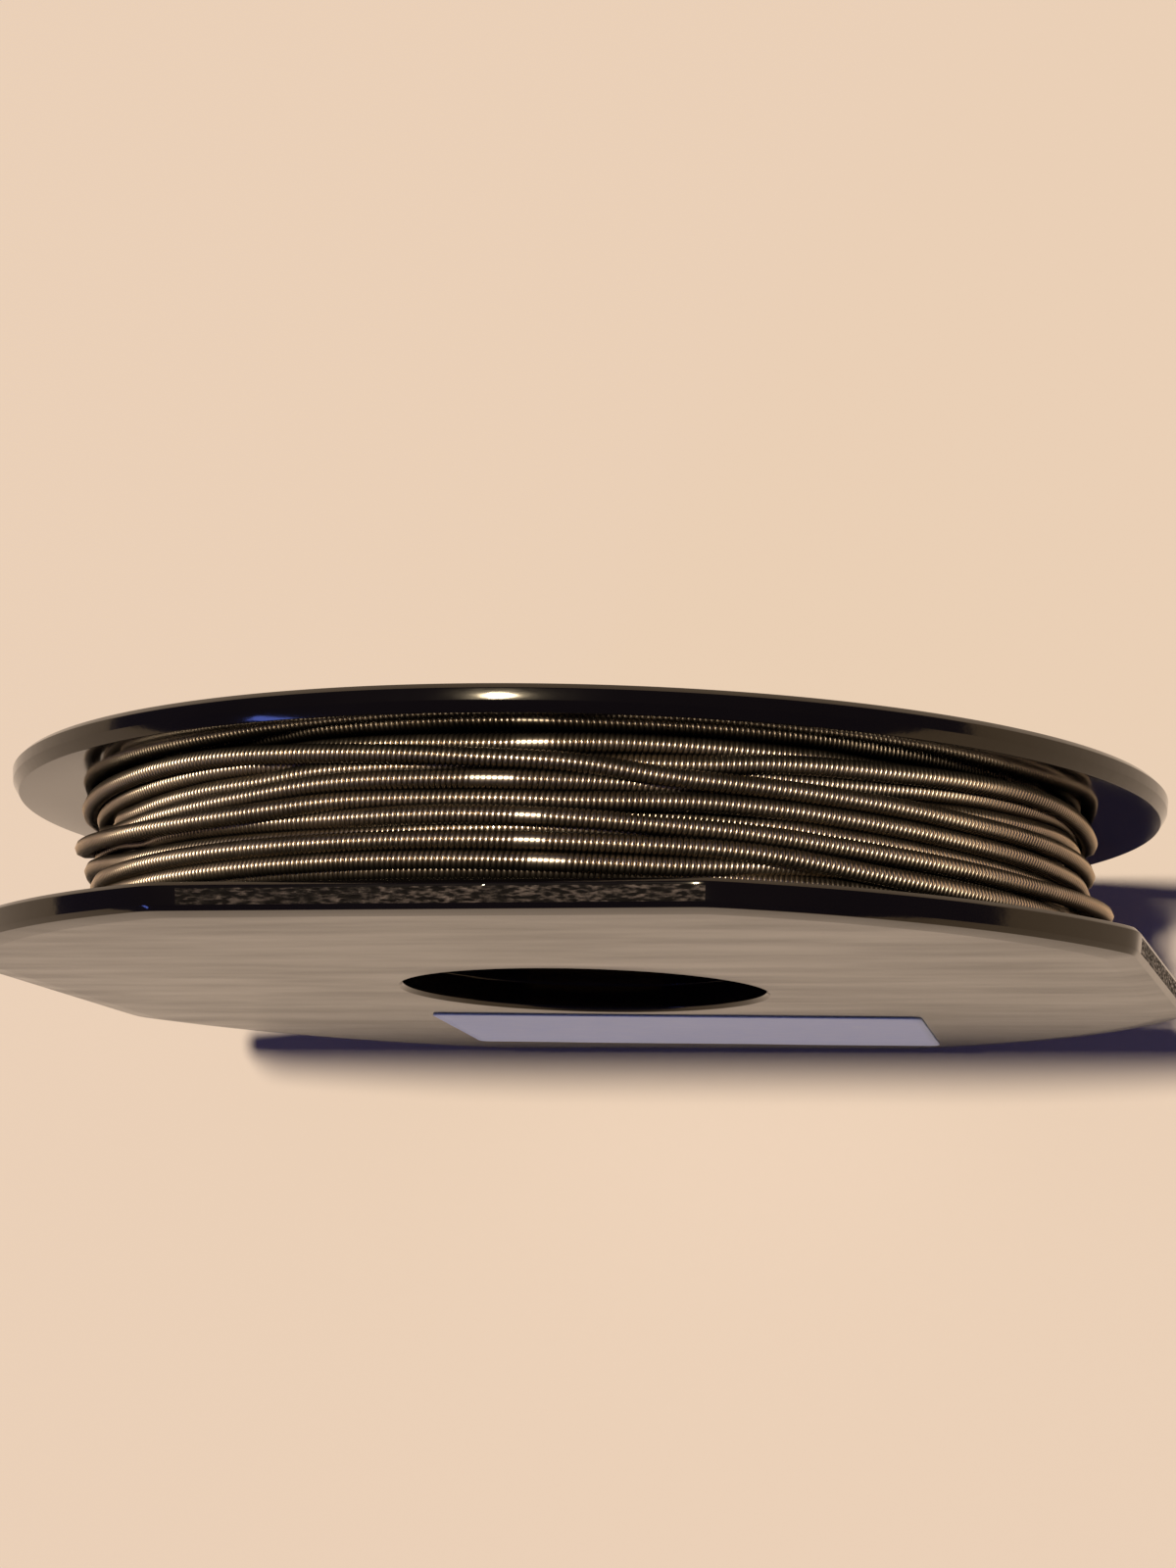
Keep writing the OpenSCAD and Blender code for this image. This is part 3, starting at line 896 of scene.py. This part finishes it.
def paper_label(material):
    """A thin sheet with rounded corners, not quite flat."""
    middle = (LABEL_LOW + LABEL_HIGH) / 2
    u = np.linspace(-1, 1, LABEL_COLUMNS)
    v = np.linspace(-1, 1, LABEL_ROWS)
    uu, vv = np.meshgrid(u, v, indexing="ij")
    x = uu * LABEL_W / 2
    z = vv * LABEL_H / 2
    over_x = np.maximum(np.abs(x) - (LABEL_W / 2 - LABEL_CORNER_R), 0)
    over_z = np.maximum(np.abs(z) - (LABEL_H / 2 - LABEL_CORNER_R), 0)
    pull = np.hypot(over_x, over_z)
    tight = np.where(pull > LABEL_CORNER_R, LABEL_CORNER_R / np.maximum(pull, TINY), 1)
    x = np.sign(x) * (np.abs(x) - over_x * (1 - tight))
    z = np.sign(z) * (np.abs(z) - over_z * (1 - tight))
    waves = np.sin(WAVE_X[0] * x + WAVE_X[1]) * np.sin(WAVE_Z[0] * z + WAVE_Z[1])
    slant = math.radians(LABEL_SLANT)
    px = middle[0] + x * math.cos(slant) + z * math.sin(slant)
    pz = middle[2] - x * math.sin(slant) + z * math.cos(slant)
    front_y = np.full_like(px, LABEL_LOW[1]) + WAVE_H * (1 + waves)
    front = np.stack([px, front_y, pz], -1).reshape(-1, 3)
    back = np.stack([px, np.full_like(px, LABEL_HIGH[1]), pz], -1).reshape(-1, 3)
    ids = np.arange(len(front)).reshape(LABEL_COLUMNS, LABEL_ROWS)
    face = grid_quads(ids)
    rim = [*ids[:-1, 0], *ids[-1, :-1], *ids[:0:-1, -1], *ids[0, :0:-1]]
    edge = [(b, a, a + len(front), b + len(front)) for a, b in zip(rim, rim[1:] + rim[:1])]
    quads = np.concatenate([face, face[:, ::-1] + len(front), np.array(edge)])
    return quad_mesh("paper_label", np.concatenate([front, back]), quads, material)


# ---------- floor and light ----------

FLOOR_COLOUR = (0.81, 0.665, 0.51)
FLOOR_HALF = 3000
CEILING_LAMP_FROM = (-0.055, 0.027, 1)
CEILING_LAMP_COLOUR = (1.0, 0.93, 0.85)
CEILING_LAMP_SPREAD = 3.5  # degrees
WINDOW_FROM = (-0.64, -0.70, 0.31)
WINDOW_DISTANCE = 700
WINDOW_SIZE = (120, 50)
WINDOW_COLOUR = (0.12, 0.20, 1.0)
ROOM_COLOUR = (0.36, 0.34, 0.9)


def add_floor():
    """A plain pale floor, cream as the photograph's table."""
    half = FLOOR_HALF
    points = [(-half, -half, FLOOR_Z), (half, -half, FLOOR_Z), (half, half, FLOOR_Z),
              (-half, half, FLOOR_Z)]
    material, shader, _, _ = new_material("floor")
    shader.inputs["Base Color"].default_value = (*FLOOR_COLOUR, 1)
    shader.inputs["Roughness"].default_value = 1.0
    shader.inputs["Specular IOR Level"].default_value = 0.0
    quad_mesh("floor", points, [(0, 1, 2, 3)], material=material)


def add_lamp(data, source, distance=0):
    """A lamp that shines on the spool from this direction."""
    lamp = bpy.data.objects.new(data.name, data)
    away = Vector(source).normalized()
    lamp.location = away * (distance * MM)
    lamp.rotation_mode = "QUATERNION"
    lamp.rotation_quaternion = away.to_track_quat("Z", "Y")
    bpy.context.collection.objects.link(lamp)


def add_ceiling_lamp():
    """The lamp almost straight above the spool."""
    data = bpy.data.lights.new("ceiling_lamp", "SUN")
    data.energy = 3.1
    data.angle = math.radians(CEILING_LAMP_SPREAD)
    data.color = CEILING_LAMP_COLOUR
    add_lamp(data, CEILING_LAMP_FROM)


def add_window():
    """A small blue light from the left, on the flat-sided flange's side."""
    data = bpy.data.lights.new("window", "AREA")
    data.shape = "RECTANGLE"
    data.size = WINDOW_SIZE[0] * MM
    data.size_y = WINDOW_SIZE[1] * MM
    data.energy = 0.21
    data.color = WINDOW_COLOUR
    add_lamp(data, WINDOW_FROM, WINDOW_DISTANCE)


def add_world():
    """Faint blue daylight from the room."""
    world = bpy.data.worlds.new("world")
    bpy.context.scene.world = world
    world.use_nodes = True
    room = world.node_tree.nodes["Background"]
    room.inputs["Color"].default_value = (*ROOM_COLOUR, 1)
    room.inputs["Strength"].default_value = 0.10


# ---------- the scene ----------

bpy.context.scene.view_settings.view_transform = "Standard"
add_camera()
add_floor()
add_ceiling_lamp()
add_window()
add_world()

rim_plastic = black_plastic("rim_plastic", level=0.5, wave=0.02)
face_plastic = black_plastic("face_plastic", level=0.25, wave=0.005)
flat_sided = flat_sided_half([rim_plastic, face_plastic, cut_plastic()])
rounded_half = round_half([rim_plastic, face_plastic])
wire_light = wire_metal("wire", crest=(0.68, 0.525, 0.345), groove=(0.011, 0.0075, 0.005))
# Painted shade: inner_wire is the same wire with darker colours, for the first layer and the layers
# below it.
inner_wire_painted_shade = wire_metal("inner_wire", crest=(0.36, 0.29, 0.19), groove=(0.02, 0.014, 0.009))
first_layer, upper_turns = add_wire(wire_light, inner_wire_painted_shade)
deep = deep_layers(inner_wire_painted_shade)
sticker = paper_label(label_paper())

for piece, node, slot in [
    (flat_sided, "flat_sided_half", "black_plastic"),
    (rounded_half, "round_half", "black_plastic"),
    (first_layer, "wire_inner_layers", "inner_wire"),
    (deep, "wire_inner_layers", "inner_wire"),
    (sticker, "label", "label_paper"),
    *[(turns, "wire_outer_layer", "wire") for turns in upper_turns],
]:
    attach(piece, "root")
    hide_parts(node)
